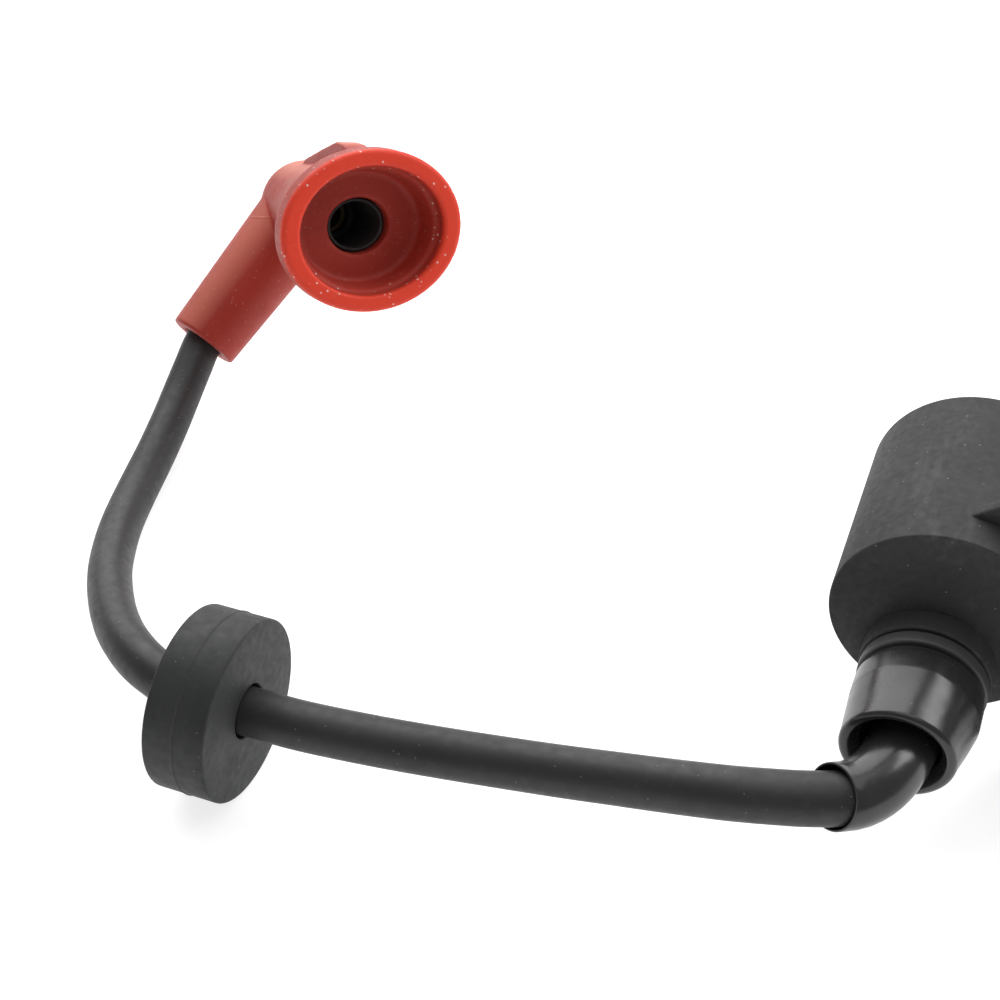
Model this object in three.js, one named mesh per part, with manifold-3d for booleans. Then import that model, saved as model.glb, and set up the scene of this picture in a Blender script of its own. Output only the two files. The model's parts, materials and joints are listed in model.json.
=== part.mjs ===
// Ignition coil: a potted coil on a steel bracket, with a moulded tower, a boot and an elbow that
// take the high-tension lead, a round grommet on the lead, and a red right-angled spark plug boot.
// Units are millimetres and +Z is up. The origin lies under the bracket's foot, midway between its
// two fixing holes. The coil's axis runs along +Y and its tower points along -Y.
import * as THREE from 'three';
import { mergeVertices } from 'three/addons/utils/BufferGeometryUtils.js';
import Module from 'manifold-3d';

const wasm = await Module();
wasm.setup();

const V = (x, y, z) => new THREE.Vector3(x, y, z);
const GAP = 0.3; // between pieces that touch on the real object

// Coil body, measured from its front face along +Y
const COIL_X = -27;
const COIL_FRONT_Y = -22;
const COIL_Z = 29.8;
const COIL_R = 14.9;
const COIL_BACK_R = 15.5;
const COIL_LENGTH = 31.4;
const COIL_BACK_ROUND = 0.8;
const COIL_WALL = 1.8;
const FRONT_WALL = 2.2;
const POTTING_BACK = 30.6;
const POTTING_DISC = 3;
const POTTING_WALL = 0.8;

// Windings on their bobbins, around the coil's axis
const WINDING_START = 3.6;
const WINDING_END = 25.6;
const CORE_WIDTH = 6;
const PRIMARY_R = 4.7;
const SECONDARY_R = 7.6;
const BOBBIN_WALL = 0.8;
const BOBBIN_FLANGE = 1;
const INSIDE_SEGMENTS = 24;

// Tower below the coil's axis, with its boot and elbow
const TOWER_X = -0.25;
const TOWER_Z = 22.8;
const TOWER_COLLAR_R = 8.85;
const TOWER_COLLAR_LENGTH = 3.4;
const TOWER_R = 6.8;
const TOWER_LENGTH = 11;
const TOWER_BORE_R = 3.4;
const SEAL_R = 8.6;
const SEAL_START = 3.75;
const SEAL_END = 5.75;
const BOOT_R = 8.5;
const BOOT_START = 6.1;
const BOOT_END = 18.9;
const BOOT_SHOULDER_R = 8.05;
const BOOT_LIP_R = 7.45;
const BOOT_OPENING_R = 6.1;
const BOOT_NECK_R = 5.1;
const BOOT_LEAN = 0.09;
const BOOT_RISE = 0.07;
const ELBOW_START_R = 4.5;
const ELBOW_END_R = 4.25;
const ELBOW_BORE_R = 3.9;
const ELBOW_BORE_DEPTH = 4;
const CONTACT_R = 1.2;
const ELBOW_ROUTE = [
  V(-27.1, -34.4, 22.8),
  V(-27.4, -37.6, 22.8),
  V(-27.8, -40.6, 22.8),
  V(-28.5, -43.5, 22.8),
  V(-29.7, -46.1, 22.7),
  V(-31.5, -48.3, 22.5),
  V(-33.9, -49.7, 22.3),
];

// Mounting ear on the coil and the bracket riveted to it
const EAR_START = 5;
const EAR_THICKNESS = 2;
const EAR_RIGHT = 37;
const EAR_RISE = 4;
const EAR_SLOPE_END = 4.8;
const SLEEVE_X = 27;
const SLEEVE_DROP = 7.5;
const SLEEVE_BOSS_R = 5;
const SLEEVE_BOSS_LENGTH = 5;
const SLEEVE_R = 3.4;
const SLEEVE_BORE_R = 2.6;
const RIVET_R = 2.25;
const RIVET_HEAD_R = 4.2;
const RIVET_HEAD_LENGTH = 1.4;
const STEEL = 2;
const FOOT_RIGHT = 12;
const FOOT_REACH = 11;
const FOOT_FRONT = -14.4;
const FOOT_BACK = 20;
const CRADLE_LEFT = -37;
const CRADLE_FRONT = 2;
const CRADLE_Y = 9;
const CRADLE_HALF_WIDTH = 7;
const FIXING_HOLE_R = 3.25;
const FIXING_HOLE_Y = [-8.5, 11.5];
const WEB_TOP = 44.6;

// Blade terminals for the primary circuit
const BLADE_WIDTH = 6.3;
const BLADE_THICKNESS = 0.8;
const BLADE_ROOT_THICKNESS = 0.6;
const BLADE_START = 26;
const BLADE_SHOULDER = 31.9;
const BLADE_END = 42;
const BLADE_OFFSET = 6;
const BLADE_HOLE_R = 0.9;

// High-tension lead, from inside the elbow to inside the plug boot
const LEAD_R = 3.5;
const LEAD_SIDES = 12;
const LEAD_STEPS = 40;
const CONDUCTOR_R = 0.9;
const CONDUCTOR_BORE_R = 1.3;
const LEAD_ROUTE = [
  V(-30.6, -47.9, 22.5),
  V(-32.9, -49.3, 22.3),
  V(-37.2, -50.9, 22),
  V(-40.9, -51.8, 21.6),
  V(-45.4, -52.6, 20.9),
  V(-50.4, -53, 19.8),
  V(-55.6, -53.2, 18.5),
  V(-60.9, -53.2, 17),
  V(-66.3, -53.4, 15.7),
  V(-71.7, -53.7, 14.6),
  V(-77.2, -54.2, 13.8),
  V(-83.8, -55.3, 13.5),
  V(-93.5, -57, 13.4),
  V(-104.7, -58.6, 13.4),
  V(-111.5, -59, 13.3),
  V(-117.1, -59.3, 13.3),
  V(-123, -59.15, 13.3),
  V(-127.3, -58.22, 13.15),
  V(-131.5, -56.6, 12.8),
  V(-136, -53.9, 12),
  V(-141.2, -49.6, 10.4),
  V(-146.3, -44.1, 8.6),
  V(-151.1, -37.9, 6.7),
  V(-154.9, -31.6, 5.1),
  V(-157.7, -25.7, 4.2),
  V(-159.7, -19.9, 3.8),
  V(-161.3, -13.8, 3.9),
  V(-162.7, -7, 4.6),
  V(-164.2, 0.4, 5.9),
  V(-165.4, 6.7, 7.6),
  V(-166.05, 12, 9.75),
  V(-166.35, 16.6, 12),
  V(-165.35, 21, 14.6),
  V(-162.9, 27.6, 18.8),
  V(-160.7, 33.8, 22.7),
];

// Grommet on the straight stretch of the lead
const GROMMET_AT = V(-117.1, -59.3, 13.32);
const GROMMET_SEAM = 0.12;
const GROMMET_HEADING = THREE.MathUtils.degToRad(2.8);
const GROMMET_R = 13.19;
const GROMMET_EDGE = 0.5;
const GROMMET_BORE_R = 3.95;
const GROMMET_LENGTH = 9.2;

// Spark plug boot: a sleeve on the lead, a round head, and an oval bell over the plug
const SLEEVE_MOUTH = V(-166.6, 16.9, 12.0);
const SLEEVE_AXIS = V(0.287, 0.809, 0.513).normalize();
const BELL_AXIS = V(0.717, -0.602, 0.352).normalize();
const BELL_WIDE_AXIS = V(0.663, 0.745, -0.075).normalize();
const SLEEVE_LENGTH = 32.4;
const PLUG_SLEEVE_MOUTH_R = 6.45;
const PLUG_SLEEVE_HEAD_R = 7.75;
const PLUG_SLEEVE_BORE_R = 4.05;
const HEAD_R = 8.6;
const BELL_LENGTH = 35.3;
const BELL_OVAL = 0.088;
const BELL_SHIFT = V(0.18, 0, 0.31);
const RIM_R = 14.95;
const RIM_WALL = 3;
const BELL_FLOOR = 7.6;
const PLUG_HOLE_R = 5.15;
const PLUG_HOLE_DEPTH = 37;
const BELL_SEGMENTS = 36;
const HOLE_SHOULDER_R = 3.3;
const HOLE_SHOULDER_Y = 12;
const INSULATOR_BORE_R = 4.3;
const SOCKET_R = 3.5;
const SOCKET_END = 11.5;
const TAB_TURN = THREE.MathUtils.degToRad(40);
const TAB_THICKNESS = 4.6;

const BLACK_RUBBER = { color: 0x2c2d2e, roughness: 0.72, metalness: 0 };
const BLACK_PLASTIC = { color: 0x232425, roughness: 0.55, metalness: 0 };
const GLOSSY_BLACK = { color: 0x17181a, roughness: 0.25, metalness: 0 };
const RED_SILICONE = { color: 0xc23a26, roughness: 0.55, metalness: 0 };
const POTTING = { color: 0x1b1b1c, roughness: 0.35, metalness: 0 };
const BOBBIN = { color: 0xd8cfb8, roughness: 0.6, metalness: 0 };
const COPPER = { color: 0xb4632f, roughness: 0.35, metalness: 0.9 };
const BRASS = { color: 0xb99a4b, roughness: 0.35, metalness: 1 };
const ZINC_STEEL = { color: 0xa9adb0, roughness: 0.38, metalness: 1 };
const CORE_STEEL = { color: 0x5b5f63, roughness: 0.5, metalness: 0.9 };
const BLACK_STEEL = { color: 0x202123, roughness: 0.45, metalness: 0.3 };

// ---------- shapes ----------

function signedVolume(geometry) {
  const solid = geometry.index ? geometry.toNonIndexed() : geometry;
  const p = solid.attributes.position;
  const [a, b, c] = [V(0, 0, 0), V(0, 0, 0), V(0, 0, 0)];
  let total = 0;
  for (let i = 0; i < p.count; i += 3) {
    a.fromBufferAttribute(p, i);
    b.fromBufferAttribute(p, i + 1);
    c.fromBufferAttribute(p, i + 2);
    total += a.dot(b.cross(c));
  }
  return total / 6;
}

// A closed mesh with shared vertices and its faces pointing out
function closed(geometry) {
  const bare = geometry.clone();
  bare.deleteAttribute('normal');
  bare.deleteAttribute('uv');
  const merged = mergeVertices(bare, 1e-4);
  const kept = [];
  const index = merged.index.array;
  for (let i = 0; i < index.length; i += 3) {
    const [a, b, c] = [index[i], index[i + 1], index[i + 2]];
    if (a !== b && b !== c && c !== a) kept.push(a, b, c);
  }
  if (signedVolume(merged) < 0) {
    for (let i = 0; i < kept.length; i += 3) [kept[i], kept[i + 1]] = [kept[i + 1], kept[i]];
  }
  merged.setIndex(kept);
  return merged;
}

function solid(geometry) {
  const merged = closed(geometry);
  return new wasm.Manifold(
    new wasm.Mesh({
      numProp: 3,
      vertProperties: new Float32Array(merged.attributes.position.array),
      triVerts: new Uint32Array(merged.index.array),
    }),
  );
}

function geometryOf(manifold) {
  const mesh = manifold.getMesh();
  const geometry = new THREE.BufferGeometry();
  geometry.setAttribute('position', new THREE.BufferAttribute(new Float32Array(mesh.vertProperties), 3));
  geometry.setIndex(new THREE.BufferAttribute(new Uint32Array(mesh.triVerts), 1));
  return geometry;
}

function piece(name, shape, finish) {
  const geometry = shape.isBufferGeometry ? closed(shape) : geometryOf(shape);
  geometry.computeVertexNormals();
  const mesh = new THREE.Mesh(geometry, new THREE.MeshStandardMaterial(finish));
  mesh.name = name;
  return mesh;
}

// A turned shape about +Y through x = 0, z = height
function turned(profile, height = 0, segments = 32) {
  const points = profile.map(([r, y]) => new THREE.Vector2(r, y));
  return new THREE.LatheGeometry(points, segments).translate(0, 0, height);
}

// A ring about +Y, between two radii and two distances
function ring(inner, outer, from, to, height = 0, segments = 32) {
  const profile = [[inner, from], [outer, from], [outer, to], [inner, to], [inner, from]];
  return turned(profile, height, segments);
}

// A rod about +Y, between two distances
function rod(radius, from, to, height = 0, segments = 32) {
  return turned([[0, from], [radius, from], [radius, to], [0, to]], height, segments);
}

function box(low, high) {
  const size = V(...high).sub(V(...low));
  const middle = V(...low).add(V(...high)).multiplyScalar(0.5);
  return new THREE.BoxGeometry(size.x, size.y, size.z).translate(middle.x, middle.y, middle.z);
}

function circle(radius, sides) {
  const points = [];
  for (let i = 0; i < sides; i += 1) {
    const a = (2 * Math.PI * i) / sides;
    points.push(new THREE.Vector2(radius * Math.cos(a), radius * Math.sin(a)));
  }
  return points;
}

function curveThrough(points) {
  return new THREE.CatmullRomCurve3(points, false, 'centripetal');
}

function tube(points, radius, sides, steps, boreRadius = 0, boreSides = 6) {
  const section = new THREE.Shape(circle(radius, sides));
  if (boreRadius) section.holes.push(new THREE.Path(circle(boreRadius, boreSides)));
  return new THREE.ExtrudeGeometry(section, { steps, extrudePath: curveThrough(points) });
}

// A tube along a curve whose radius changes evenly from its start to its end
function taperedTube(points, startRadius, endRadius, sides, steps) {
  const curve = curveThrough(points);
  const geometry = tube(points, 1, sides, steps);
  const p = geometry.attributes.position;
  const centres = curve.getSpacedPoints(steps);
  const v = V(0, 0, 0);
  for (let i = 0; i < p.count; i += 1) {
    v.fromBufferAttribute(p, i);
    let nearest = 0;
    centres.forEach((c, k) => {
      if (c.distanceTo(v) < centres[nearest].distanceTo(v)) nearest = k;
    });
    const radius = THREE.MathUtils.lerp(startRadius, endRadius, nearest / steps);
    const out = v.clone().sub(centres[nearest]);
    if (out.length() > 0.5) v.copy(centres[nearest]).add(out.setLength(radius));
    p.setXYZ(i, v.x, v.y, v.z);
  }
  return geometry;
}

// ---------- coil ----------

// Plate on the coil's side. Its top edge slopes up from the top of the coil.
function ear() {
  const outline = new THREE.Shape([
    new THREE.Vector2(0, COIL_Z - COIL_R),
    new THREE.Vector2(EAR_RIGHT, COIL_Z - COIL_R),
    new THREE.Vector2(EAR_RIGHT, COIL_Z + COIL_R + EAR_RISE),
    new THREE.Vector2(EAR_SLOPE_END, COIL_Z + COIL_R + EAR_RISE),
    new THREE.Vector2(0, COIL_Z + COIL_R),
  ]);
  const plate = new THREE.ExtrudeGeometry(outline, { depth: EAR_THICKNESS, bevelEnabled: false });
  return plate.rotateX(Math.PI / 2).translate(0, EAR_START + EAR_THICKNESS, 0);
}

function coilHousing() {
  const outside = turned(
    [
      [0, 0],
      [COIL_R, 0],
      [COIL_BACK_R, COIL_LENGTH - COIL_BACK_ROUND],
      [COIL_BACK_R - COIL_BACK_ROUND, COIL_LENGTH],
      [0, COIL_LENGTH],
    ],
    COIL_Z,
    48,
  );
  const collar = rod(TOWER_COLLAR_R, -TOWER_COLLAR_LENGTH, 1, TOWER_Z).translate(TOWER_X, 0, 0);
  const tower = rod(TOWER_R, -TOWER_LENGTH, 1, TOWER_Z).translate(TOWER_X, 0, 0);
  let housing = solid(outside).add(solid(ear())).add(solid(collar)).add(solid(tower));
  for (const drop of [-SLEEVE_DROP, SLEEVE_DROP]) {
    const from = EAR_START + EAR_THICKNESS - SLEEVE_BOSS_LENGTH;
    const boss = rod(SLEEVE_BOSS_R, from, EAR_START + 1, COIL_Z + drop, 24).translate(SLEEVE_X, 0, 0);
    const bore = rod(SLEEVE_R + GAP / 2, from - 1, EAR_START + 5, COIL_Z + drop, 24);
    housing = housing.add(solid(boss)).subtract(solid(bore.translate(SLEEVE_X, 0, 0)));
  }
  const mouth = rod(TOWER_BORE_R, -TOWER_LENGTH - 1, FRONT_WALL + 1, TOWER_Z, 24).translate(TOWER_X, 0, 0);
  housing = housing.subtract(solid(rod(COIL_R - COIL_WALL, FRONT_WALL, COIL_LENGTH + 1, COIL_Z)));
  return housing.subtract(solid(mouth));
}

// Thin root held in the resin, with a shoulder behind the housing and the full blade outside
function blade(side) {
  const middle = side * BLADE_OFFSET;
  const halfWidth = BLADE_WIDTH / 2;
  const tip = 1.6;
  const outline = new THREE.Shape([
    new THREE.Vector2(middle - halfWidth, BLADE_SHOULDER),
    new THREE.Vector2(middle + halfWidth, BLADE_SHOULDER),
    new THREE.Vector2(middle + halfWidth, BLADE_END - tip),
    new THREE.Vector2(middle + halfWidth - tip, BLADE_END),
    new THREE.Vector2(middle - halfWidth + tip, BLADE_END),
    new THREE.Vector2(middle - halfWidth, BLADE_END - tip),
  ]);
  const hole = circle(BLADE_HOLE_R, 16).map((p) => p.add(new THREE.Vector2(middle, BLADE_END - 4)));
  outline.holes.push(new THREE.Path(hole));
  const plate = new THREE.ExtrudeGeometry(outline, { depth: BLADE_THICKNESS, bevelEnabled: false });
  plate.translate(0, 0, COIL_Z - BLADE_THICKNESS / 2);
  const rootHalf = BLADE_ROOT_THICKNESS / 2;
  const root = box(
    [middle - halfWidth, BLADE_START, COIL_Z - rootHalf],
    [middle + halfWidth, BLADE_SHOULDER + 1, COIL_Z + rootHalf],
  );
  return solid(plate).add(solid(root));
}

// Resin round the windings: a sleeve inside the housing, closed at the back
function pottingCompound() {
  const outer = COIL_R - COIL_WALL - GAP;
  const inner = outer - POTTING_WALL;
  const back = POTTING_BACK;
  const floor = back - POTTING_DISC;
  const cup = turned(
    [[0, floor], [inner, floor], [inner, WINDING_START], [outer, WINDING_START], [outer, back], [0, back]],
    COIL_Z,
  );
  let potting = solid(cup);
  for (const side of [-1, 1]) {
    const x = side * BLADE_OFFSET;
    const half = [BLADE_WIDTH / 2 + GAP, BLADE_ROOT_THICKNESS / 2 + GAP];
    const slot = box([x - half[0], floor - 1, COIL_Z - half[1]], [x + half[0], back + 1, COIL_Z + half[1]]);
    potting = potting.subtract(solid(slot));
  }
  return potting;
}

// A spool about the coil's axis: a tube with a flange at each end
function bobbin(inner, flangeR) {
  const tubeR = inner + BOBBIN_WALL;
  const front = WINDING_START;
  const back = WINDING_END;
  return turned(
    [
      [inner, front],
      [flangeR, front],
      [flangeR, front + BOBBIN_FLANGE],
      [tubeR, front + BOBBIN_FLANGE],
      [tubeR, back - BOBBIN_FLANGE],
      [flangeR, back - BOBBIN_FLANGE],
      [flangeR, back],
      [inner, back],
      [inner, front],
    ],
    COIL_Z,
    INSIDE_SEGMENTS,
  );
}

function winding(inner, outer) {
  const end = BOBBIN_FLANGE + GAP;
  const [front, back] = [WINDING_START + end, WINDING_END - end];
  return ring(inner + BOBBIN_WALL + GAP, outer, front, back, COIL_Z, INSIDE_SEGMENTS);
}

// Stack of sheets, with a shallow groove between each sheet and the next
function ironCore() {
  const half = CORE_WIDTH / 2;
  const sheets = 6;
  const pitch = CORE_WIDTH / sheets;
  let core = solid(box([-half, WINDING_START, COIL_Z - half], [half, WINDING_END, COIL_Z + half]));
  for (let i = 1; i < sheets; i += 1) {
    const z = COIL_Z - half + i * pitch;
    for (const side of [-1, 1]) {
      const edge = side * half;
      const groove = box([edge - 0.2, WINDING_START - 1, z - 0.1], [edge + 0.2, WINDING_END + 1, z + 0.1]);
      core = core.subtract(solid(groove));
    }
  }
  return core;
}

function coilInsides() {
  const flangeOuter = COIL_R - COIL_WALL - GAP - POTTING_WALL - GAP;
  return [
    piece('iron_core', ironCore(), CORE_STEEL),
    piece('primary_bobbin', bobbin(PRIMARY_R, SECONDARY_R - GAP), BOBBIN),
    piece('primary_winding', winding(PRIMARY_R, SECONDARY_R - 2 * GAP), COPPER),
    piece('secondary_bobbin', bobbin(SECONDARY_R, flangeOuter), BOBBIN),
    piece('secondary_winding', winding(SECONDARY_R, flangeOuter - GAP), COPPER),
    piece('potting_compound', pottingCompound(), POTTING),
    piece('primary_terminal', blade(1), BRASS),
    piece('ground_terminal', blade(-1), BRASS),
  ];
}

// ---------- tower ----------

// Brass pin from the secondary winding through the front wall into the tower's mouth
function towerTerminal() {
  const headR = TOWER_BORE_R - GAP;
  const pinR = 1.6;
  const tipR = 1.3;
  const tip = 1 - TOWER_LENGTH;
  const profile = [[0, tip], [tipR, tip], [pinR, tip + 0.6], [pinR, -1], [headR, -1], [headR, 1.8], [0, 1.8]];
  return turned(profile, TOWER_Z, 24).translate(TOWER_X, 0, 0);
}

// Soft boot over the tower: it narrows to a thin rounded lip standing clear of the elbow
function towerBoot() {
  const lipRound = (BOOT_LIP_R - BOOT_OPENING_R) / 2;
  const lipY = lipRound - BOOT_END;
  const shoulderY = -14;
  const boreR = TOWER_R + GAP;
  const boreEnd = -TOWER_LENGTH - GAP;
  const outside = [
    [boreR, -BOOT_START],
    [BOOT_R - 0.3, -BOOT_START],
    [BOOT_R, -BOOT_START - 0.4],
    [BOOT_R, -10.5],
    [BOOT_SHOULDER_R, shoulderY],
    [BOOT_LIP_R + 0.15, -16.6],
  ];
  const lip = [];
  for (let i = 0; i <= 6; i += 1) {
    const a = (Math.PI * i) / 6;
    lip.push([BOOT_LIP_R - lipRound + lipRound * Math.cos(a), lipY - lipRound * Math.sin(a)]);
  }
  const inside = [
    [BOOT_OPENING_R, -16],
    [BOOT_NECK_R, -14.6],
    [BOOT_NECK_R, boreEnd],
    [boreR, boreEnd],
    [boreR, -BOOT_START],
  ];
  const shape = turned([...outside, ...lip, ...inside], TOWER_Z, 36).translate(TOWER_X, 0, 0);
  const p = shape.attributes.position;
  for (let i = 0; i < p.count; i += 1) {
    const past = Math.min(0, p.getY(i) - boreEnd);
    p.setX(i, p.getX(i) + BOOT_LEAN * past);
    p.setZ(i, p.getZ(i) - BOOT_RISE * past);
  }
  return shape;
}

// Moulded elbow: solid round its contact, with a blind bore in its mouth for the lead
function leadElbow() {
  const outside = taperedTube(ELBOW_ROUTE, ELBOW_START_R, ELBOW_END_R, 20, 12);
  const mouth = ELBOW_ROUTE[ELBOW_ROUTE.length - 1];
  const inward = ELBOW_ROUTE[ELBOW_ROUTE.length - 2].clone().sub(mouth).normalize();
  const bore = tube(
    [mouth.clone().addScaledVector(inward, -2), mouth.clone().addScaledVector(inward, ELBOW_BORE_DEPTH)],
    ELBOW_BORE_R,
    24,
    1,
  );
  const channel = tube(ELBOW_ROUTE, CONTACT_R + GAP, 8, 12);
  return solid(outside).subtract(solid(bore)).subtract(solid(channel));
}

function elbowContact() {
  const route = curveThrough(ELBOW_ROUTE);
  const points = [];
  for (let i = 0; i <= 6; i += 1) points.push(route.getPointAt(0.02 + (0.66 * i) / 6));
  return tube(points, CONTACT_R, 8, 10);
}

// ---------- bracket ----------

function earSleeve() {
  const back = EAR_START + EAR_THICKNESS;
  return ring(SLEEVE_BORE_R, SLEEVE_R, back - SLEEVE_BOSS_LENGTH, back, 0, 24);
}

// Tubular rivet through the sleeve and the bracket's web, with a round head at each end
function rivet() {
  const front = EAR_START + EAR_THICKNESS - SLEEVE_BOSS_LENGTH - GAP;
  const back = EAR_START + EAR_THICKNESS + GAP + STEEL + GAP;
  const head = RIVET_HEAD_LENGTH;
  return turned(
    [
      [0, front - head],
      [RIVET_HEAD_R * 0.6, front - head],
      [RIVET_HEAD_R, front - head * 0.3],
      [RIVET_HEAD_R, front],
      [RIVET_R, front],
      [RIVET_R, back],
      [RIVET_HEAD_R * 0.85, back],
      [RIVET_HEAD_R * 0.85, back + head * 0.4],
      [RIVET_HEAD_R * 0.5, back + head],
      [0, back + head],
    ],
    0,
    24,
  );
}

// Plate outline in the XY plane, raised by its thickness
function footPlate() {
  const corner = 3;
  const outline = new THREE.Shape();
  outline.moveTo(FOOT_RIGHT, FOOT_FRONT);
  outline.lineTo(FOOT_RIGHT, FOOT_BACK - corner);
  outline.absarc(FOOT_RIGHT - corner, FOOT_BACK - corner, corner, 0, Math.PI / 2, false);
  outline.lineTo(CRADLE_LEFT + corner, FOOT_BACK);
  outline.absarc(CRADLE_LEFT + corner, FOOT_BACK - corner, corner, Math.PI / 2, Math.PI, false);
  outline.lineTo(CRADLE_LEFT, CRADLE_FRONT + corner);
  outline.absarc(CRADLE_LEFT + corner, CRADLE_FRONT + corner, corner, Math.PI, 1.5 * Math.PI, false);
  outline.lineTo(-FOOT_REACH, CRADLE_FRONT);
  outline.lineTo(-FOOT_REACH, FOOT_FRONT);
  for (const y of FIXING_HOLE_Y) {
    const hole = circle(FIXING_HOLE_R, 24).map((p) => p.add(new THREE.Vector2(0, y)));
    outline.holes.push(new THREE.Path(hole));
  }
  return new THREE.ExtrudeGeometry(outline, { depth: STEEL, bevelEnabled: false, curveSegments: 5 });
}

// Foot on the surface, web up behind the ear with a bent heel, and a cradle under the coil
function mountingBracket() {
  const inside = 2;
  const lap = 1;
  const webFront = COIL_FRONT_Y + EAR_START + EAR_THICKNESS + GAP;
  const webBack = webFront + STEEL;
  const webRight = FOOT_RIGHT - 3;
  const bendY = webBack + inside;
  const bendZ = STEEL + inside;
  const bend = new THREE.Shape();
  bend.moveTo(bendY + lap, 0);
  bend.lineTo(bendY, 0);
  bend.absarc(bendY, bendZ, bendZ, -Math.PI / 2, -Math.PI, true);
  bend.lineTo(webFront, WEB_TOP);
  bend.lineTo(webBack, WEB_TOP);
  bend.lineTo(webBack, bendZ);
  bend.absarc(bendY, bendZ, inside, Math.PI, 1.5 * Math.PI, false);
  bend.lineTo(bendY + lap, STEEL);
  const web = new THREE.ExtrudeGeometry(bend, {
    depth: webRight + FOOT_REACH,
    bevelEnabled: false,
    curveSegments: 6,
  });
  web.applyMatrix4(new THREE.Matrix4().makeBasis(V(0, 1, 0), V(0, 0, 1), V(1, 0, 0)));
  web.translate(-FOOT_REACH, 0, 0);
  const inFront = box([-60, FOOT_FRONT - 20, -1], [60, bendY, WEB_TOP]);
  const cradle = box(
    [COIL_X - CRADLE_HALF_WIDTH, CRADLE_Y - 6, STEEL / 2],
    [COIL_X + CRADLE_HALF_WIDTH, CRADLE_Y - 6 + STEEL, COIL_Z - COIL_R + 3],
  );
  const seat = rod(COIL_BACK_R + GAP, -COIL_LENGTH, COIL_LENGTH, COIL_Z, 48).translate(COIL_X, 0, 0);
  let bracket = solid(footPlate()).subtract(solid(inFront)).add(solid(web)).add(solid(cradle));
  bracket = bracket.subtract(solid(seat));
  for (const drop of [-SLEEVE_DROP, SLEEVE_DROP]) {
    const hole = rod(RIVET_R + GAP, -40, 40, COIL_Z + drop, 24).translate(COIL_X + SLEEVE_X, 0, 0);
    bracket = bracket.subtract(solid(hole));
  }
  return bracket;
}

// ---------- lead, grommet ----------

function grommet() {
  const half = GROMMET_LENGTH / 2;
  const edge = GROMMET_EDGE;
  const seam = GROMMET_SEAM;
  return turned(
    [
      [GROMMET_BORE_R, -half],
      [GROMMET_R - edge, -half],
      [GROMMET_R, -half + edge],
      [GROMMET_R, -seam * 2],
      [GROMMET_R + seam, 0],
      [GROMMET_R, seam * 2],
      [GROMMET_R, half - edge],
      [GROMMET_R - edge, half],
      [GROMMET_BORE_R, half],
      [GROMMET_BORE_R, -half],
    ],
    0,
    40,
  );
}

// ---------- spark plug boot ----------
// The boot's own frame has its origin in the middle of its head. +Y runs along the bell's axis,
// out of the mouth, and +X along the bell's wide axis.

const HEAD_AT = SLEEVE_MOUTH.clone().addScaledVector(SLEEVE_AXIS, SLEEVE_LENGTH);

function bootFrame() {
  const y = BELL_AXIS.clone();
  const x = BELL_WIDE_AXIS.clone().addScaledVector(y, -BELL_WIDE_AXIS.dot(y)).normalize();
  const z = x.clone().cross(y);
  return new THREE.Matrix4().makeBasis(x, y, z).setPosition(HEAD_AT);
}

const INTO_BOOT = bootFrame().invert();
const MOUTH = SLEEVE_MOUTH.clone().applyMatrix4(INTO_BOOT);

// Point on the sleeve's axis in the boot's frame, at a distance in from the sleeve's mouth
function alongSleeve(distance) {
  return MOUTH.clone().multiplyScalar(1 - distance / SLEEVE_LENGTH);
}

// Widens a turned shape along X, narrows it along Z and shifts it, more and more towards the rim
function oval(geometry) {
  const p = geometry.attributes.position;
  for (let i = 0; i < p.count; i += 1) {
    const k = THREE.MathUtils.smoothstep(p.getY(i), HEAD_R, BELL_LENGTH);
    p.setX(i, p.getX(i) * (1 + k * BELL_OVAL) + k * BELL_SHIFT.x);
    p.setZ(i, p.getZ(i) * (1 - k * BELL_OVAL) + k * BELL_SHIFT.z);
  }
  return geometry;
}

function bellOutside() {
  const profile = [[0, -HEAD_R]];
  for (let i = 1; i <= 6; i += 1) {
    const a = (Math.PI / 2) * (i / 6);
    profile.push([HEAD_R * Math.sin(a), -HEAD_R * Math.cos(a)]);
  }
  const flare = new THREE.QuadraticBezierCurve(
    new THREE.Vector2(HEAD_R, 6),
    new THREE.Vector2(HEAD_R + 0.6, 18),
    new THREE.Vector2(RIM_R - 1.4, 28.5),
  );
  flare.getPoints(6).forEach((p) => profile.push([p.x, p.y]));
  const rim = BELL_LENGTH;
  profile.push([RIM_R - 0.4, 30], [RIM_R, 31.2], [RIM_R, rim - 1], [RIM_R - 0.7, rim], [0, rim]);
  return oval(turned(profile, 0, BELL_SEGMENTS));
}

function bellInside() {
  const rim = BELL_LENGTH;
  const mouth = RIM_R - RIM_WALL;
  const floor = rim - BELL_FLOOR;
  const profile = [
    [0, rim - PLUG_HOLE_DEPTH],
    [PLUG_HOLE_R, rim - PLUG_HOLE_DEPTH],
    [PLUG_HOLE_R, floor - 0.4],
    [PLUG_HOLE_R + 0.5, floor],
    [mouth - 2.4, floor],
    [mouth - 1.3, floor + 1],
    [mouth - 0.9, rim - 3],
    [mouth - 0.1, rim - 2.4],
    [mouth, rim - 0.4],
    [mouth + 0.5, rim + 0.2],
    [mouth + 0.5, rim + 1],
    [0, rim + 1],
  ];
  return oval(turned(profile, 0, BELL_SEGMENTS));
}

function between(from, to, fromR, toR, sides) {
  const middle = from.clone().add(to).multiplyScalar(0.5);
  const axis = to.clone().sub(from);
  const geometry = new THREE.CylinderGeometry(toR, fromR, axis.length(), sides);
  const turn = new THREE.Quaternion().setFromUnitVectors(V(0, 1, 0), axis.normalize());
  return geometry.applyQuaternion(turn).translate(middle.x, middle.y, middle.z);
}

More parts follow.
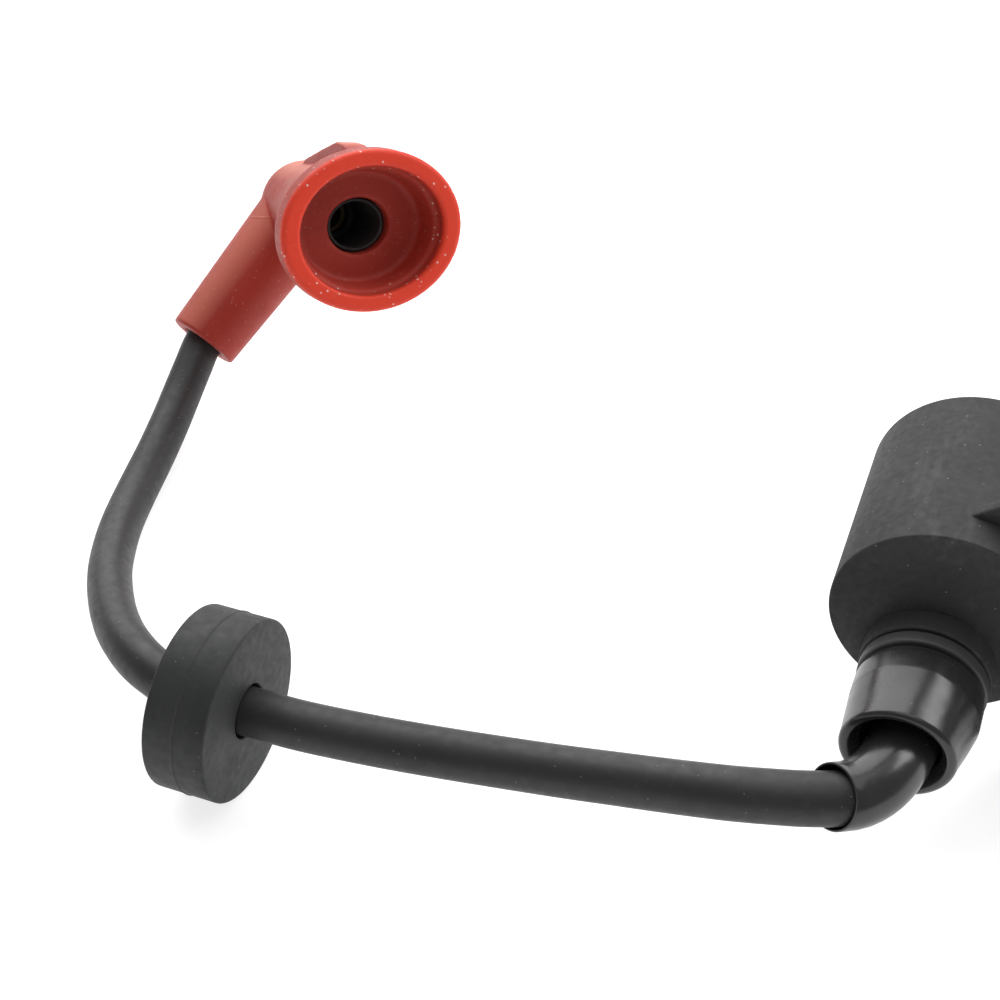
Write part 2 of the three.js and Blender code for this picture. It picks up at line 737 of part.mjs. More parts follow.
// Fin on the back of the bell, to pull the boot off by. It lies round the bell from the sleeve.
function pullTab() {
  const outline = new THREE.Shape([
    new THREE.Vector2(6, 4),
    new THREE.Vector2(9.1, 4),
    new THREE.Vector2(11.7, 13.8),
    new THREE.Vector2(13.5, 21.1),
    new THREE.Vector2(13.4, 24.6),
    new THREE.Vector2(12.6, 27.7),
    new THREE.Vector2(6, 27.7),
  ]);
  const tab = new THREE.ExtrudeGeometry(outline, { depth: TAB_THICKNESS, bevelEnabled: false });
  const away = alongSleeve(0).setY(0).normalize().negate();
  const angle = Math.atan2(-away.z, away.x) + TAB_TURN;
  return tab.translate(0, 0, -TAB_THICKNESS / 2).rotateY(angle);
}

function plugBoot() {
  const sleeve = between(alongSleeve(0), alongSleeve(SLEEVE_LENGTH), PLUG_SLEEVE_MOUTH_R, PLUG_SLEEVE_HEAD_R, 32);
  const bore = between(alongSleeve(-1), alongSleeve(SLEEVE_LENGTH), PLUG_SLEEVE_BORE_R, PLUG_SLEEVE_BORE_R, 24);
  return solid(bellOutside())
    .add(solid(sleeve))
    .add(solid(pullTab()))
    .subtract(solid(bellInside()))
    .subtract(solid(bore));
}

// Hard black sleeve lining the boot's hole, with a shoulder in front of the terminal
function bootInsulator() {
  const front = BELL_LENGTH - BELL_FLOOR - 1.6;
  const outer = PLUG_HOLE_R - GAP;
  const back = HOLE_SHOULDER_Y;
  const step = back + 1.5;
  const profile = [
    [HOLE_SHOULDER_R, back],
    [outer, back],
    [outer, front],
    [INSULATOR_BORE_R, front],
    [INSULATOR_BORE_R, step],
    [HOLE_SHOULDER_R, step],
    [HOLE_SHOULDER_R, back],
  ];
  return oval(turned(profile, 0, BELL_SEGMENTS));
}

// Terminal: a socket for the plug's tip and an arm out along the sleeve to the lead's wire
function plugTerminal() {
  const floor = 2.2;
  const socket = ring(SOCKET_R - 0.8, SOCKET_R, floor + 2, SOCKET_END, 0, 24);
  const base = rod(SOCKET_R, floor, floor + 2.4, 0, 24);
  const arm = between(alongSleeve(22.4), V(0, floor + 1.2, 0), 1.6, 1.6, 12);
  return solid(socket).add(solid(base)).add(solid(arm));
}

// Open spring ring gripping the socket
function terminalSpring() {
  const middle = SOCKET_END - 2.5;
  const hoop = ring(SOCKET_R + 0.15, SOCKET_R + 0.65, middle - 0.5, middle + 0.5, 0, 24);
  return solid(hoop).subtract(solid(box([-1, middle - 1, 0], [1, middle + 1, 6])));
}

// ---------- assembly ----------

function coilAssembly() {
  const group = new THREE.Group();
  group.position.set(COIL_X, COIL_FRONT_Y, 0);
  group.add(piece('coil_housing', coilHousing(), BLACK_PLASTIC));
  coilInsides().forEach((mesh) => group.add(mesh));
  group.add(piece('tower_terminal', towerTerminal(), BRASS));
  const seal = ring(TOWER_R + GAP, SEAL_R, -SEAL_END, -SEAL_START, TOWER_Z).translate(TOWER_X, 0, 0);
  group.add(piece('tower_seal_ring', seal, BLACK_RUBBER));
  group.add(piece('tower_boot', towerBoot(), GLOSSY_BLACK));
  for (const [place, drop] of [['upper', SLEEVE_DROP], ['lower', -SLEEVE_DROP]]) {
    const sleeve = piece(`ear_sleeve_${place}`, earSleeve(), ZINC_STEEL);
    const pin = piece(`bracket_rivet_${place}`, rivet(), ZINC_STEEL);
    sleeve.position.set(SLEEVE_X, 0, COIL_Z + drop);
    pin.position.copy(sleeve.position);
    group.add(sleeve, pin);
  }
  return group;
}

function plugBootAssembly() {
  const group = new THREE.Group();
  group.add(piece('plug_boot', plugBoot(), RED_SILICONE));
  group.add(piece('boot_insulator', bootInsulator(), BLACK_PLASTIC));
  group.add(piece('plug_terminal', plugTerminal(), BRASS));
  group.add(piece('terminal_spring', terminalSpring(), ZINC_STEEL));
  group.applyMatrix4(bootFrame());
  return group;
}

const coil = new THREE.Group();
coil.name = 'ignition_coil';
coil.add(coilAssembly());
coil.add(piece('mounting_bracket', mountingBracket(), BLACK_STEEL));
coil.add(piece('lead_elbow', leadElbow(), GLOSSY_BLACK));
coil.add(piece('elbow_contact', elbowContact(), BRASS));

const jacket = tube(LEAD_ROUTE, LEAD_R, LEAD_SIDES, LEAD_STEPS, CONDUCTOR_BORE_R);
coil.add(piece('ht_lead', jacket, BLACK_RUBBER));
coil.add(piece('lead_conductor', tube(LEAD_ROUTE, CONDUCTOR_R, 6, LEAD_STEPS), COPPER));

const grommetMesh = piece('grommet', grommet(), BLACK_RUBBER);
grommetMesh.position.copy(GROMMET_AT);
grommetMesh.rotation.z = GROMMET_HEADING - Math.PI / 2;
coil.add(grommetMesh);
coil.add(plugBootAssembly());

export default coil;
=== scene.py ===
"""Looks of a small-engine ignition coil: its lead, rubber boots, grommet, housing, steel and brass.

Sizes are in millimetres until a shape becomes a mesh, which is in metres. Round shapes are drawn
about +Y in their own frame and are then placed in the part's frame.
"""
import json
import math

import bmesh
import bpy
from mathutils import Matrix, Vector


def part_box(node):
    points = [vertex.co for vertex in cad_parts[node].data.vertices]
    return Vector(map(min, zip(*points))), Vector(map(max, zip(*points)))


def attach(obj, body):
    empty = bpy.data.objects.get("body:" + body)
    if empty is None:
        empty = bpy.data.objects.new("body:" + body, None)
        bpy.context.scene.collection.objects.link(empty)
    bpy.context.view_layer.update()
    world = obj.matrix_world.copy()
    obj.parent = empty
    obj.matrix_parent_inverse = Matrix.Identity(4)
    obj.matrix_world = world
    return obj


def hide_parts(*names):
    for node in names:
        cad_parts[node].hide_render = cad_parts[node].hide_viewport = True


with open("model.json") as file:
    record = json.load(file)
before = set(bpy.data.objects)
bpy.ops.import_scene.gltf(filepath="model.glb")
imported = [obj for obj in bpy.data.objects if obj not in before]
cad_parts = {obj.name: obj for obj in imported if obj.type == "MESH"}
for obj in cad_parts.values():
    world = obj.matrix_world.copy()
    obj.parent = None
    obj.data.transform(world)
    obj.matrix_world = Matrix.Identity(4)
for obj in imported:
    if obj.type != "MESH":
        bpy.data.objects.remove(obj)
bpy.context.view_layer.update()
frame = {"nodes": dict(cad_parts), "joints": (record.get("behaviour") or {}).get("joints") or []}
JOINTS = {joint["name"]: joint for joint in frame["joints"]}
MM = 0.001

# ---------- places, from the frame ----------

HOUSING_LOW, HOUSING_HIGH = [Vector(p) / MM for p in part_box("coil_housing")]
COIL_R, COIL_BACK_R, COIL_LENGTH = 14.9, 15.5, 31.4
COIL_WALL, FRONT_WALL = 1.8, 2.2
POTTING_BACK, POTTING_DISC = 30.6, 3
EAR_START, EAR_THICKNESS, EAR_RISE, EAR_SLOPE_END = 5, 2, 4, 4.8
RIVET_X, RIVET_DROP, BOSS_R, EAR_HOLE_R = 27, 7.5, 5, 3.55
CUP_END = 28
COIL_AXIS = Vector(
    (
        HOUSING_LOW.x + COIL_BACK_R,
        HOUSING_HIGH.y - COIL_LENGTH,
        HOUSING_HIGH.z - EAR_RISE - COIL_R,
    )
)

SEAL_LOW, SEAL_HIGH = [Vector(p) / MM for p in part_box("tower_seal_ring")]
SEAL_R = (SEAL_HIGH.z - SEAL_LOW.z) / 2
TOWER_R, TOWER_LENGTH, TOWER_BORE_R, COLLAR_LENGTH = 6.8, 11, 3.4, 3.4
BOOT_SEAT_R, BOOT_BEND_Y, BOOT_LEAN, BOOT_RISE = 7.1, -11.3, 0.09, 0.07
TOWER_AXIS = Vector(((SEAL_LOW.x + SEAL_HIGH.x) / 2, COIL_AXIS.y, SEAL_LOW.z + SEAL_R))

GROMMET_LOW, GROMMET_HIGH = [Vector(p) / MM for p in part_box("grommet")]
GROMMET_R = (GROMMET_HIGH.z - GROMMET_LOW.z) / 2
GROMMET_SEAM, GROMMET_HALF_LENGTH, GROMMET_BORE_R = 0.12, 4.6, 3.95
GROMMET_AT = (GROMMET_LOW + GROMMET_HIGH) / 2
GROMMET_AXIS = Vector(JOINTS["grommet_slide"]["axis"]).normalized()

SLEEVE_MOUTH = Vector(JOINTS["boot_swivel"]["pos_m"]) / MM
SLEEVE_AXIS = Vector(JOINTS["boot_swivel"]["axis"]).normalized()
BELL_AXIS = Vector((0.717, -0.602, 0.352)).normalized()
BELL_WIDE_AXIS = Vector((0.663, 0.745, -0.075))
SLEEVE_LENGTH, SLEEVE_MOUTH_R, SLEEVE_HEAD_R, SLEEVE_BORE_R = 32.4, 6.45, 7.75, 4.0
HEAD_R, BELL_LENGTH, RIM_R, BELL_OVAL = 8.6, 35.3, 14.95, 0.088
RIM_SHIFT = Vector((0.18, 0, 0.31))
RIM_WALL, BELL_DEPTH = 3, 7.6
PLUG_HOLE_R, PLUG_HOLE_DEPTH = 5.15, 37
TAB_THICKNESS, TAB_TURN = 4.6, math.radians(40)

# ---------- the lead's route, from inside the elbow to inside the plug boot, in metres ----------

LEAD_DIAMETER = 0.007
LEAD_ROUTE = [
    (-0.0306, -0.0479, 0.0225),
    (-0.0329, -0.0493, 0.0223),
    (-0.0372, -0.0509, 0.022),
    (-0.0409, -0.0518, 0.0216),
    (-0.0454, -0.0526, 0.0209),
    (-0.0504, -0.053, 0.0198),
    (-0.0556, -0.0532, 0.0185),
    (-0.0609, -0.0532, 0.017),
    (-0.0663, -0.0534, 0.0157),
    (-0.0717, -0.0537, 0.0146),
    (-0.0772, -0.0542, 0.0138),
    (-0.0838, -0.0553, 0.0135),
    (-0.0935, -0.057, 0.0134),
    (-0.1047, -0.0586, 0.0134),
    (-0.1115, -0.059, 0.0133),
    (-0.1171, -0.0593, 0.0133),
    (-0.123, -0.05915, 0.0133),
    (-0.1273, -0.05822, 0.01315),
    (-0.1315, -0.0566, 0.0128),
    (-0.136, -0.0539, 0.012),
    (-0.1412, -0.0496, 0.0104),
    (-0.1463, -0.0441, 0.0086),
    (-0.1511, -0.0379, 0.0067),
    (-0.1549, -0.0316, 0.0051),
    (-0.1577, -0.0257, 0.0042),
    (-0.1597, -0.0199, 0.0038),
    (-0.1613, -0.0138, 0.0039),
    (-0.1627, -0.007, 0.0046),
    (-0.1642, 0.0004, 0.0059),
    (-0.1654, 0.0067, 0.0076),
    (-0.16605, 0.012, 0.00975),
    (-0.16635, 0.0166, 0.012),
    (-0.16535, 0.021, 0.0146),
    (-0.1629, 0.0276, 0.0188),
    (-0.1607, 0.0338, 0.0227),
]

# ---------- the elbow's route, from inside the tower boot to its mouth ----------

ELBOW_ROUTE = [
    (-27.1, -34.4, 22.8),
    (-27.4, -37.6, 22.8),
    (-27.8, -40.6, 22.8),
    (-28.5, -43.5, 22.8),
    (-29.7, -46.1, 22.7),
    (-31.5, -48.3, 22.6),
    (-33.9, -49.7, 22.5),
]
ELBOW_START_R, ELBOW_END_R, ELBOW_BORE_R, ELBOW_BORE_DEPTH = 4.5, 4.3, 3.9, 4
MOUTH_SLANT, SLANT_LENGTH = 0.47, 3.5
MOUTH_FACES = Vector((0.226, -0.523, 0.82))

# ---------- curves ----------


def span(a, b, c, d, steps):
    """Points of a centripetal Catmull-Rom span from b to c."""
    ab, bc, cd = [max((q - p).length, 1e-9) ** 0.5 for p, q in ((a, b), (b, c), (c, d))]
    leave = ((b - a) / ab - (c - a) / (ab + bc) + (c - b) / bc) * bc
    arrive = ((c - b) / bc - (d - b) / (bc + cd) + (d - c) / cd) * bc
    points = []
    for k in range(steps):
        t = k / steps
        square = -3 * b + 3 * c - 2 * leave - arrive
        cube = 2 * b - 2 * c + leave + arrive
        points.append(b + leave * t + square * t**2 + cube * t**3)
    return points


def smooth_path(route, steps):
    """A smooth curve through the route, with so many steps between two of its points."""
    points = [Vector(p) for p in route]
    ends = [2 * points[0] - points[1], *points, 2 * points[-1] - points[-2]]
    path = []
    for a, b, c, d in zip(ends, ends[1:], ends[2:], ends[3:]):
        path += span(a, b, c, d, steps)
    return [*path, points[-1]]


def fillet(corners, steps=5):
    """A profile of (radius, distance, rounding) corners, with each corner rounded."""
    points = []
    for i, (r, y, rounding) in enumerate(corners):
        corner = Vector((r, y))
        if not rounding or i in (0, len(corners) - 1):
            points.append(corner)
            continue
        back = Vector(corners[i - 1][:2]) - corner
        on = Vector(corners[i + 1][:2]) - corner
        half = back.angle(on) / 2
        if half > math.radians(88):
            points.append(corner)
            continue
        reach = min(rounding / math.tan(half), 0.48 * min(back.length, on.length))
        start, end = corner + back.normalized() * reach, corner + on.normalized() * reach
        radius = reach * math.tan(half)
        inward = (back.normalized() + on.normalized()).normalized()
        centre = corner + inward * radius / math.sin(half)
        turn = (start - centre).angle_signed(end - centre)
        for k in range(steps + 1):
            arm = start - centre
            arm.rotate(Matrix.Rotation(-turn * k / steps, 2))
            points.append(centre + arm)
    return points


# ---------- meshes ----------


def lathe(profile, segments=96):
    """A closed turned shape about +Y. Its profile starts and ends on the axis, or is closed."""
    bm = bmesh.new()
    loops = []
    closes = (Vector(profile[0][:2]) - Vector(profile[-1][:2])).length < 1e-6
    for point in profile[:-1] if closes else profile:
        r, y = point[0], point[1]
        if r < 1e-6:
            loops.append([bm.verts.new((0, y, 0))])
            continue
        turns = [2 * math.pi * k / segments for k in range(segments)]
        loops.append([bm.verts.new((r * math.cos(a), y, r * math.sin(a))) for a in turns])
    if closes:
        loops.append(loops[0])
    for one, two in zip(loops, loops[1:]):
        for k in range(segments):
            n = (k + 1) % segments
            corners = [one[k % len(one)], one[n % len(one)], two[n % len(two)], two[k % len(two)]]
            corners = list(dict.fromkeys(corners))
            if len(corners) > 2:
                bm.faces.new(corners)
    bmesh.ops.recalc_face_normals(bm, faces=bm.faces)
    return bm


def plate(outline, thickness, rounding=0.3):
    """A flat piece with an outline in XY, centred on z = 0, with rounded edges."""
    bm = bmesh.new()
    face = bm.faces.new([bm.verts.new((x, y, -thickness / 2)) for x, y in outline])
    top = bmesh.ops.extrude_face_region(bm, geom=[face])["geom"]
    for v in top:
        if isinstance(v, bmesh.types.BMVert):
            v.co.z += thickness
    bmesh.ops.recalc_face_normals(bm, faces=bm.faces)
    sharp = [e for e in bm.edges if e.calc_face_angle(0) > math.radians(40)]
    bmesh.ops.bevel(bm, geom=sharp, offset=rounding, segments=3, profile=0.5, affect="EDGES")
    return bm


def bend_along(bm, path):
    """Lays a shape drawn about +Y along a path: its y is the distance along it."""
    tangents = [(b - a).normalized() for a, b in zip(path, path[1:])]
    tangents.append(tangents[-1])
    distances = [0.0]
    for a, b in zip(path, path[1:]):
        distances.append(distances[-1] + (b - a).length)
    side = tangents[0].orthogonal().normalized()
    sides = []
    for t in tangents:
        side = (side - t * side.dot(t)).normalized()
        sides.append(side.copy())
    for v in bm.verts:
        k = min(range(len(path)), key=lambda i: abs(distances[i] - v.co.y))
        ahead = v.co.y - distances[k]
        up = tangents[k].cross(sides[k])
        v.co = path[k] + tangents[k] * ahead + sides[k] * v.co.x + up * v.co.z
    return bm


def placed(bm, place):
    bmesh.ops.transform(bm, matrix=place, verts=bm.verts)
    return bm


def about(axis_point):
    """Moves a shape drawn about +Y onto an axis along +Y through a point."""
    return Matrix.Translation(axis_point)


def rivet_axis(drop):
    """A point on a rivet's axis, level with the coil's front face."""
    return COIL_AXIS + Vector((RIVET_X, 0, drop))


def facing(at, axis):
    """Turns a shape drawn about +Y onto an axis."""
    y = Vector(axis).normalized()
    x = y.cross(Vector((0, 0, 1))).normalized()
    turn = Matrix((x, y, x.cross(y))).transposed().to_4x4()
    return Matrix.Translation(at) @ turn


def new_piece(name, bm, smooth_below=35):
    """An object from a shape in millimetres."""
    bmesh.ops.scale(bm, vec=(MM, MM, MM), verts=bm.verts)
    mesh = bpy.data.meshes.new(name)
    bm.to_mesh(mesh)
    bm.free()
    mesh.set_sharp_from_angle(angle=math.radians(smooth_below))
    for face in mesh.polygons:
        face.use_smooth = True
    obj = bpy.data.objects.new(name, mesh)
    bpy.context.scene.collection.objects.link(obj)
    return obj


def settle(obj):
    """Applies an object's modifiers."""
    mesh = bpy.data.meshes.new_from_object(obj.evaluated_get(bpy.context.evaluated_depsgraph_get()))
    obj.modifiers.clear()
    obj.data = mesh
    return obj


def joined(name, solids, cuts=(), smooth_below=35):
    """One solid from several that overlap, less the cuts."""
    base = new_piece(name, solids[0])
    tools = [(bm, "UNION") for bm in solids[1:]] + [(bm, "DIFFERENCE") for bm in cuts]
    for i, (bm, operation) in enumerate(tools):
        tool = new_piece(f"{name}.tool{i}", bm)
        change = base.modifiers.new("join", "BOOLEAN")
        change.operation = operation
        change.solver = "EXACT"
        change.object = tool
        settle(base)
        bpy.data.objects.remove(tool)
    base.data.set_sharp_from_angle(angle=math.radians(smooth_below))
    for face in base.data.polygons:
        face.use_smooth = True
    return base


def softened(obj, voxel, passes):
    """Melts an object's joins into one skin."""
    remesh = obj.modifiers.new("skin", "REMESH")
    remesh.mode = "VOXEL"
    remesh.voxel_size = voxel * MM
    remesh.use_smooth_shade = True
    relax = obj.modifiers.new("relax", "SMOOTH")
    relax.factor = 0.5
    relax.iterations = passes
    return settle(obj)


def rounded_copy(name, node, rounding, limit=30):
    """A piece with a CAD node's shape and rounded edges."""
    bm = bmesh.new()
    bm.from_mesh(frame["nodes"][node].data)
    bmesh.ops.remove_doubles(bm, verts=bm.verts, dist=1e-6)
    bmesh.ops.dissolve_limit(bm, angle_limit=math.radians(1), verts=bm.verts, edges=bm.edges)
    sharp = [e for e in bm.edges if e.calc_face_angle(0) > math.radians(limit)]
    bmesh.ops.bevel(bm, geom=sharp, offset=rounding * MM, segments=2, profile=0.5, affect="EDGES")
    bmesh.ops.scale(bm, vec=(1 / MM,) * 3, verts=bm.verts)
    return new_piece(name, bm)


# ---------- materials ----------


class Finish:
    """A material with short calls for its nodes."""

    def __init__(self, name):
        self.material = bpy.data.materials.new(name)
        self.material.use_nodes = True
        self.tree = self.material.node_tree
        self.shader = self.tree.nodes["Principled BSDF"]
        self.place = self.node("ShaderNodeTexCoord").outputs["Object"]

    def node(self, kind, **values):
        made = self.tree.nodes.new(kind)
        for key, value in values.items():
            setattr(made, key, value)
        return made

    def link(self, value, socket):
        if isinstance(value, (int, float, tuple)):
            socket.default_value = value
        else:
            self.tree.links.new(value, socket)

    def noise(self, scale, detail=3.0, roughness=0.55, stretch=None, turn=None):
        place = self.place
        if stretch:
            mapping = self.node("ShaderNodeMapping")
            mapping.inputs["Scale"].default_value = stretch
            if turn:
                mapping.inputs["Rotation"].default_value = turn
            self.link(place, mapping.inputs["Vector"])
            place = mapping.outputs["Vector"]
        made = self.node("ShaderNodeTexNoise")
        self.link(place, made.inputs["Vector"])
        made.inputs["Scale"].default_value = scale
        made.inputs["Detail"].default_value = detail
        made.inputs["Roughness"].default_value = roughness
        return made.outputs["Fac"]

    def specks(self, scale, size, share):
        """Round specks: one cell in so many holds one."""
        cells = self.node("ShaderNodeTexVoronoi")
        cells.inputs["Scale"].default_value = scale
        self.link(self.place, cells.inputs["Vector"])
        dot = self.remap(cells.outputs["Distance"], size * 0.5, size, 1, 0)
        chance = self.node("ShaderNodeSeparateColor")
        self.link(cells.outputs["Color"], chance.inputs["Color"])
        kept = self.math("GREATER_THAN", chance.outputs["Red"], 1 - share)
        return self.math("MULTIPLY", dot, kept)

    def remap(self, value, low, high, to_low=0.0, to_high=1.0):
        made = self.node("ShaderNodeMapRange")
        self.link(value, made.inputs["Value"])
        made.inputs["From Min"].default_value = low
        made.inputs["From Max"].default_value = high
        made.inputs["To Min"].default_value = to_low
        made.inputs["To Max"].default_value = to_high
        return made.outputs["Result"]

    def math(self, operation, one, two=0.0):
        made = self.node("ShaderNodeMath", operation=operation)
        self.link(one, made.inputs[0])
        self.link(two, made.inputs[1])
        return made.outputs[0]

    def along(self, axis, at):
        """Distance along an axis from a point, in millimetres."""
        made = self.node("ShaderNodeVectorMath", operation="DOT_PRODUCT")
        self.link(self.place, made.inputs[0])
        made.inputs[1].default_value = tuple(Vector(axis) / MM)
        return self.math("SUBTRACT", made.outputs["Value"], Vector(axis).dot(Vector(at)))

    def facing_up(self, starts=0.1):
        """1 where the surface faces up, 0 where it faces sideways or down: the mask for painted top
        light.
        """
        normal = self.node("ShaderNodeSeparateXYZ")
        self.link(self.node("ShaderNodeTexCoord").outputs["Normal"], normal.inputs["Vector"])
        return self.remap(normal.outputs["Z"], starts, 1.0)

    def mix(self, amount, one, two):
        made = self.node("ShaderNodeMix", data_type="RGBA")
        self.link(amount, made.inputs["Factor"])
        self.link(one, made.inputs["A"])
        self.link(two, made.inputs["B"])
        return made.outputs["Result"]

    def bump(self, height, distance, strength=1.0, under=None):
        made = self.node("ShaderNodeBump")
        made.inputs["Strength"].default_value = strength
        made.inputs["Distance"].default_value = distance * MM
        self.link(height, made.inputs["Height"])
        if under:
            self.link(under, made.inputs["Normal"])
        return made.outputs["Normal"]

    def set(self, **sockets):
        for name, value in sockets.items():
            self.link(value, self.shader.inputs[name.replace("_", " ")])


def rgb(r, g, b):
    return (r, g, b, 1.0)


def moulded_plastic():
    """Dusty black moulding: fine grain, pale rubbed streaks, painted top light on up-facing parts.
    """
    f = Finish("coil_plastic")
    cloud = f.noise(55, 4, 0.6)
    streaks = f.noise(260, 5, 0.65, stretch=(1, 0.22, 1), turn=(0.3, 0.0, 0.5))
    grain = f.noise(3200, 2)
    base = f.mix(f.remap(cloud, 0.35, 0.7), rgb(0.024, 0.024, 0.024), rgb(0.036, 0.036, 0.036))
    rubbed = f.math("MULTIPLY", f.remap(streaks, 0.54, 0.74), f.remap(cloud, 0.4, 0.6))
    base = f.mix(f.math("MULTIPLY", rubbed, 0.5), base, rgb(0.10, 0.10, 0.10))
    # painted top light: surfaces that face up are lightened
    base = f.mix(f.math("MULTIPLY", f.facing_up(), 0.25), base, rgb(0.06, 0.06, 0.06))
    dust = f.specks(1100, 0.2, 0.10)
    base = f.mix(f.math("MULTIPLY", dust, 0.35), base, rgb(0.3, 0.3, 0.29))
    rough = f.remap(f.noise(900, 3), 0.3, 0.7, 0.62, 0.8)
    grained = f.bump(grain, 0.03, 0.5)
    f.set(Base_Color=base, Roughness=rough, Normal=f.bump(streaks, 0.03, 0.3, under=grained))
    f.shader.inputs["Specular IOR Level"].default_value = 0.35
    return f.material


def matte_rubber(name, base_low, base_high, rough, grain_depth, dusty):
    """Black rubber: cloudy tone, fine grain, dust specks and a little bloom."""
    f = Finish(name)
    cloud = f.noise(90, 4, 0.6)
    base = f.mix(f.remap(cloud, 0.3, 0.7), rgb(*base_low), rgb(*base_high))
    bloom = f.remap(f.noise(500, 6, 0.7), 0.56, 0.8)
    base = f.mix(f.math("MULTIPLY", bloom, 0.35), base, rgb(0.07, 0.07, 0.07))
    dust = f.specks(1300, 0.2, dusty)
    base = f.mix(f.math("MULTIPLY", dust, 0.35), base, rgb(0.26, 0.26, 0.25))
    roughness = f.remap(f.noise(700, 4), 0.3, 0.7, rough - 0.08, rough + 0.08)
    fine = f.bump(f.noise(2600, 3, 0.6), grain_depth, 0.6)
    uneven = f.bump(f.noise(240, 3), 0.08, 0.3, under=fine)
    f.set(Base_Color=base, Roughness=roughness, Normal=uneven)
    f.shader.inputs["Specular IOR Level"].default_value = 0.4
    return f.material


def glossy_rubber():
    """Shiny soft black of the tower boot and the elbow, slightly uneven, with faint smears."""
    f = Finish("boot_black")
    smear = f.remap(f.noise(130, 5, 0.6), 0.35, 0.75)
    base = f.mix(smear, rgb(0.018, 0.018, 0.018), rgb(0.030, 0.030, 0.030))
    roughness = f.remap(f.noise(180, 5, 0.65), 0.3, 0.75, 0.17, 0.32)
    dust = f.specks(1300, 0.18, 0.05)
    base = f.mix(f.math("MULTIPLY", dust, 0.4), base, rgb(0.22, 0.22, 0.21))
    ripples = f.bump(f.noise(120, 2), 0.35, 0.5)
    fine = f.bump(f.noise(1800, 2), 0.01, 0.4, under=ripples)
    f.set(Base_Color=base, Roughness=roughness, Normal=fine)
    return f.material


def red_silicone(boot_place, bell_length):
    """Red silicone: pale chalk patches outside, a painted pink highlight on up-facing parts,
    brighter and speckled at the rim, with a parting line.
    """
    f = Finish("boot_red")
    centre = boot_place.translation
    axis = boot_place.to_3x3() @ Vector((0, 1, 0))
    across = boot_place.to_3x3() @ Vector((0, 0, 1))
    depth = f.along(axis, centre)
    rim = f.remap(depth, bell_length - 1.4, bell_length - 0.5)
    cloud = f.remap(f.noise(70, 4, 0.6), 0.3, 0.7)
    outside = f.mix(cloud, rgb(0.33, 0.024, 0.013), rgb(0.39, 0.032, 0.018))
    behind_rim = f.remap(depth, bell_length - 12, bell_length - 9, 0.7, 0)
    # painted highlight: the head and tab, which face up, are lightened to a pale pink
    painted_highlight = f.math("MULTIPLY", f.facing_up(0.7), behind_rim)
    outside = f.mix(painted_highlight, outside, rgb(0.78, 0.28, 0.19))
    base = f.mix(rim, outside, rgb(0.74, 0.046, 0.018))
    chalk = f.remap(f.noise(900, 6, 0.75), 0.58, 0.82)
    base = f.mix(f.math("MULTIPLY", chalk, 0.2), base, rgb(0.66, 0.26, 0.20))
    dusty = f.remap(depth, bell_length - 6, bell_length - 1, 0.1, 1)
    dust = f.math("MULTIPLY", f.specks(1300, 0.3, 0.14), dusty)
    base = f.mix(f.math("MULTIPLY", dust, 0.8), base, rgb(0.85, 0.66, 0.60))
    line = f.remap(f.math("ABSOLUTE", f.along(across, centre)), 0.05, 0.22, 1, 0)
    seam = f.bump(line, 0.08, 0.6)
    fine = f.bump(f.noise(2200, 3, 0.6), 0.02, 0.5, under=seam)
    rough = f.remap(f.noise(600, 4), 0.3, 0.7, 0.46, 0.62)
    f.set(Base_Color=base, Roughness=rough, Normal=fine, Sheen_Weight=0.08, Sheen_Roughness=0.4)
    f.shader.inputs["Specular IOR Level"].default_value = 0.35
    f.shader.inputs["Sheen Tint"].default_value = rgb(1.0, 0.75, 0.68)
    return f.material


def metal(name, low, high, rough, scale, stretch=None, metallic=1.0):
    """Plated, drawn or enamelled metal with fine lines, stains and dulled patches."""
    f = Finish(name)
    stain = f.remap(f.noise(120, 5, 0.6), 0.35, 0.7)
    lines = f.noise(scale, 3, 0.6, stretch=stretch)
    base = f.mix(stain, rgb(*low), rgb(*high))
    dull = f.remap(f.noise(300, 5, 0.7), 0.55, 0.75)
    base = f.mix(f.math("MULTIPLY", dull, 0.3), base, rgb(*[c * 0.6 for c in low]))
    roughness = f.remap(lines, 0.3, 0.7, rough - 0.08, rough + 0.12)
    f.set(Base_Color=base, Metallic=metallic, Roughness=roughness, Normal=f.bump(lines, 0.01, 0.5))
    return f.material


def painted_steel():
    """Black steel with a slight orange-peel and small worn spots."""
    f = Finish("bracket_paint")
    cloud = f.remap(f.noise(80, 4, 0.6), 0.3, 0.7)
    base = f.mix(cloud, rgb(0.020, 0.021, 0.022), rgb(0.036, 0.037, 0.038))
    worn = f.remap(f.noise(420, 6, 0.75), 0.66, 0.72)
    base = f.mix(worn, base, rgb(0.30, 0.30, 0.31))
    roughness = f.remap(f.noise(500, 4), 0.3, 0.7, 0.32, 0.5)
    peel = f.bump(f.noise(900, 2), 0.03, 0.4)
    metallic = f.remap(worn, 0, 1, 0.15, 0.8)
    f.set(Base_Color=base, Metallic=metallic, Roughness=roughness, Normal=peel)
    return f.material


def poured_resin():
    f = Finish("potting_resin")
    flow = f.noise(120, 2)
    cloud = f.remap(f.noise(300, 5, 0.7), 0.5, 0.75)
    base = f.mix(cloud, rgb(0.012, 0.012, 0.013), rgb(0.03, 0.03, 0.03))
    pits = f.specks(380, 0.3, 0.12)
    roughness = f.remap(f.noise(200, 4), 0.3, 0.7, 0.12, 0.3)
    wavy = f.bump(flow, 0.4, 0.5)
    pitted = f.bump(f.remap(pits, 0, 1, 1, 0), 0.2, 0.8, under=wavy)
    f.set(Base_Color=base, Roughness=roughness, Normal=pitted)
    return f.material


